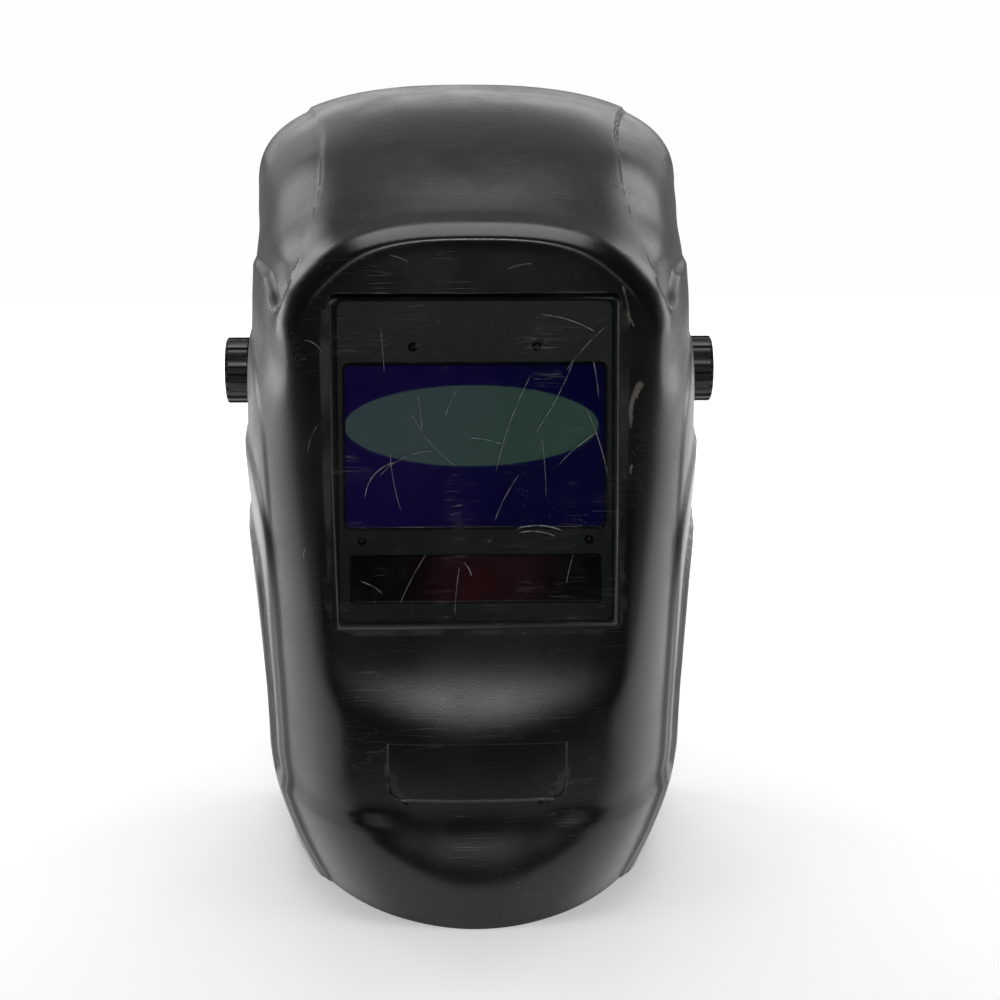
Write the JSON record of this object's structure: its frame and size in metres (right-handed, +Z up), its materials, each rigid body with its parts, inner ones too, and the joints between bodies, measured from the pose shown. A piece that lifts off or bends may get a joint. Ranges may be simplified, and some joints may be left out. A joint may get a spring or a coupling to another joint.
{
  "type": "welding helmet",
  "caption": "Auto-darkening welding helmet: moulded shell with a framed filter window, ratchet headgear on two side pivots and fluted tension knobs.",
  "frame": {"origin": "middle of the underside: centre of the bounding box in x and y, at the surface the rim stands on", "axes": "+X to the wearer's left, +Y backwards from the window to the nape, +Z up"},
  "size_m": [0.2264, 0.3174, 0.334],
  "materials": {
    "black_nylon": "satin injection-moulded nylon with fine grain",
    "knob_plastic": "semi-gloss black moulded plastic",
    "case_plastic": "matte black moulded plastic",
    "strap_plastic": "satin flexible plastic strap",
    "grey_plastic": "satin grey plastic",
    "clear_polycarbonate": "clear scratched polycarbonate",
    "filter_glass": "dark blue-violet coated filter glass",
    "solar_cell": "dark maroon solar film",
    "circuit_board": "green solder mask",
    "sensor_lens": "black glossy sensor window",
    "steel": "zinc-plated steel",
    "brass": "turned brass insert",
    "black_foam": "black cloth-faced foam"
  },
  "bodies": {
    "shell": {"shell": "black_nylon", "cover_lens": "clear_polycarbonate", "cartridge_bezel": "case_plastic", "cartridge_case": "case_plastic", "circuit_board": "circuit_board", "filter_glass": "filter_glass", "solar_panel": "solar_cell", "light_sensor_1": "sensor_lens", "light_sensor_2": "sensor_lens", "light_sensor_3": "sensor_lens", "light_sensor_4": "sensor_lens", "inner_cover_lens": "clear_polycarbonate", "cartridge_bay": "black_nylon", "hinge_pin": "steel", "inner_washer_left": "grey_plastic", "inner_washer_right": "grey_plastic", "stop_peg": "black_nylon"},
    "arms": {"pivot_arm_left": "strap_plastic", "pivot_arm_right": "strap_plastic", "pivot_bolt_left": "steel", "pivot_bolt_right": "steel", "pivot_spacer_left": "grey_plastic"},
    "angle_stop": {"angle_stop_lever": "grey_plastic"},
    "headgear": {"headband": "strap_plastic", "sweatband": "black_foam", "rear_band_left": "strap_plastic", "rear_band_right": "strap_plastic", "ratchet_housing": "strap_plastic", "ratchet_cover": "strap_plastic", "nape_pad": "black_foam"},
    "crown": {"crown_strap_left": "strap_plastic", "crown_strap_right": "strap_plastic", "crown_peg": "grey_plastic"},
    "ratchet": {"ratchet_knob": "knob_plastic", "ratchet_pinion": "steel"},
    "rack_left": {"rack_left": "grey_plastic"},
    "rack_right": {"rack_right": "grey_plastic"},
    "washer_left": {"outer_washer_left": "grey_plastic"},
    "washer_right": {"outer_washer_right": "grey_plastic"},
    "knob_left": {"tension_knob_left": "knob_plastic", "knob_insert_left": "brass"},
    "knob_right": {"tension_knob_right": "knob_plastic", "knob_insert_right": "brass"},
    "retainer": {"retainer_frame": "black_nylon"},
    "tray_left": {"battery_tray_left": "grey_plastic", "coin_cell_left": "steel"},
    "tray_right": {"battery_tray_right": "grey_plastic", "coin_cell_right": "steel"},
    "shade": {"shade_dial": "knob_plastic"},
    "sensitivity": {"sensitivity_dial": "knob_plastic"},
    "delay": {"delay_dial": "knob_plastic"},
    "button": {"test_button": "grey_plastic"},
    "switch": {"grind_switch": "grey_plastic"}
  },
  "joints": [
    {"name": "headgear_flip", "type": "hinge", "parent": "shell", "child": "arms", "pos_m": [0, 0.01603, 0.2035], "axis": [1, 0, 0], "range_deg": [0, 62]},
    {"name": "headgear_reach", "type": "slide", "parent": "arms", "child": "headgear", "axis": [0, 0.9455, -0.3256], "range_m": [-0.008, 0.008]},
    {"name": "crown_depth", "type": "slide", "parent": "headgear", "child": "crown", "axis": [0, 0.3256, 0.9455], "range_m": [-0.006, 0.008]},
    {"name": "ratchet_turn", "type": "hinge", "parent": "headgear", "child": "ratchet", "pos_m": [0, 0.13883, 0.18236], "axis": [0, 0.9455, -0.3256], "range_deg": [-60, 134]},
    {"name": "rack_left_slide", "type": "slide", "parent": "headgear", "child": "rack_left", "axis": [-1, 0, 0], "range_m": [-0.0066, 0.0143]},
    {"name": "rack_right_slide", "type": "slide", "parent": "headgear", "child": "rack_right", "axis": [1, 0, 0], "range_m": [-0.0066, 0.0143]},
    {"name": "angle_stop_turn", "type": "hinge", "parent": "arms", "child": "angle_stop", "pos_m": [0, 0.01603, 0.2035], "axis": [1, 0, 0], "range_deg": [-12, 12]},
    {"name": "washer_left_slide", "type": "slide", "parent": "arms", "child": "washer_left", "axis": [1, 0, 0], "range_m": [0, 0.00125]},
    {"name": "washer_right_slide", "type": "slide", "parent": "arms", "child": "washer_right", "axis": [-1, 0, 0], "range_m": [0, 0.00125]},
    {"name": "knob_left_turn", "type": "hinge", "parent": "washer_left", "child": "knob_left", "pos_m": [0, 0.01603, 0.2035], "axis": [1, 0, 0], "range_deg": [0, 360]},
    {"name": "knob_right_turn", "type": "hinge", "parent": "washer_right", "child": "knob_right", "pos_m": [0, 0.01603, 0.2035], "axis": [-1, 0, 0], "range_deg": [0, 360]},
    {"name": "retainer_swing", "type": "hinge", "parent": "shell", "child": "retainer", "pos_m": [0, -0.09011, 0.26069], "axis": [-1, 0, 0], "range_deg": [-45, 0]},
    {"name": "tray_left_slide", "type": "slide", "parent": "shell", "child": "tray_left", "axis": [0, -0.1219, -0.9925], "range_m": [0, 0.03]},
    {"name": "tray_right_slide", "type": "slide", "parent": "shell", "child": "tray_right", "axis": [0, -0.1219, -0.9925], "range_m": [0, 0.03]},
    {"name": "shade_turn", "type": "hinge", "parent": "shell", "child": "shade", "pos_m": [0, -0.109, 0.13556], "axis": [0, -0.9925, 0.1219], "range_deg": [0, 270]},
    {"name": "sensitivity_turn", "type": "hinge", "parent": "shell", "child": "sensitivity", "pos_m": [-0.04, -0.09675, 0.23531], "axis": [0, -0.9925, 0.1219], "range_deg": [0, 270]},
    {"name": "delay_turn", "type": "hinge", "parent": "shell", "child": "delay", "pos_m": [0.04, -0.09675, 0.23531], "axis": [0, -0.9925, 0.1219], "range_deg": [0, 270]},
    {"name": "button_press", "type": "slide", "parent": "shell", "child": "button", "axis": [0, -0.9925, 0.1219], "range_m": [0, 0.001], "stiffness_N_per_m": 300},
    {"name": "switch_slide", "type": "slide", "parent": "shell", "child": "switch", "axis": [1, 0, 0], "range_m": [0, 0.004]}
  ],
  "couplings": [
    {"joint": "rack_left_slide", "follows": "ratchet_turn", "m_per_rad": 0.006},
    {"joint": "rack_right_slide", "follows": "ratchet_turn", "m_per_rad": 0.006},
    {"joint": "washer_left_slide", "follows": "knob_left_turn", "m_per_rad": 0.00019894},
    {"joint": "washer_right_slide", "follows": "knob_right_turn", "m_per_rad": 0.00019894}
  ]
}
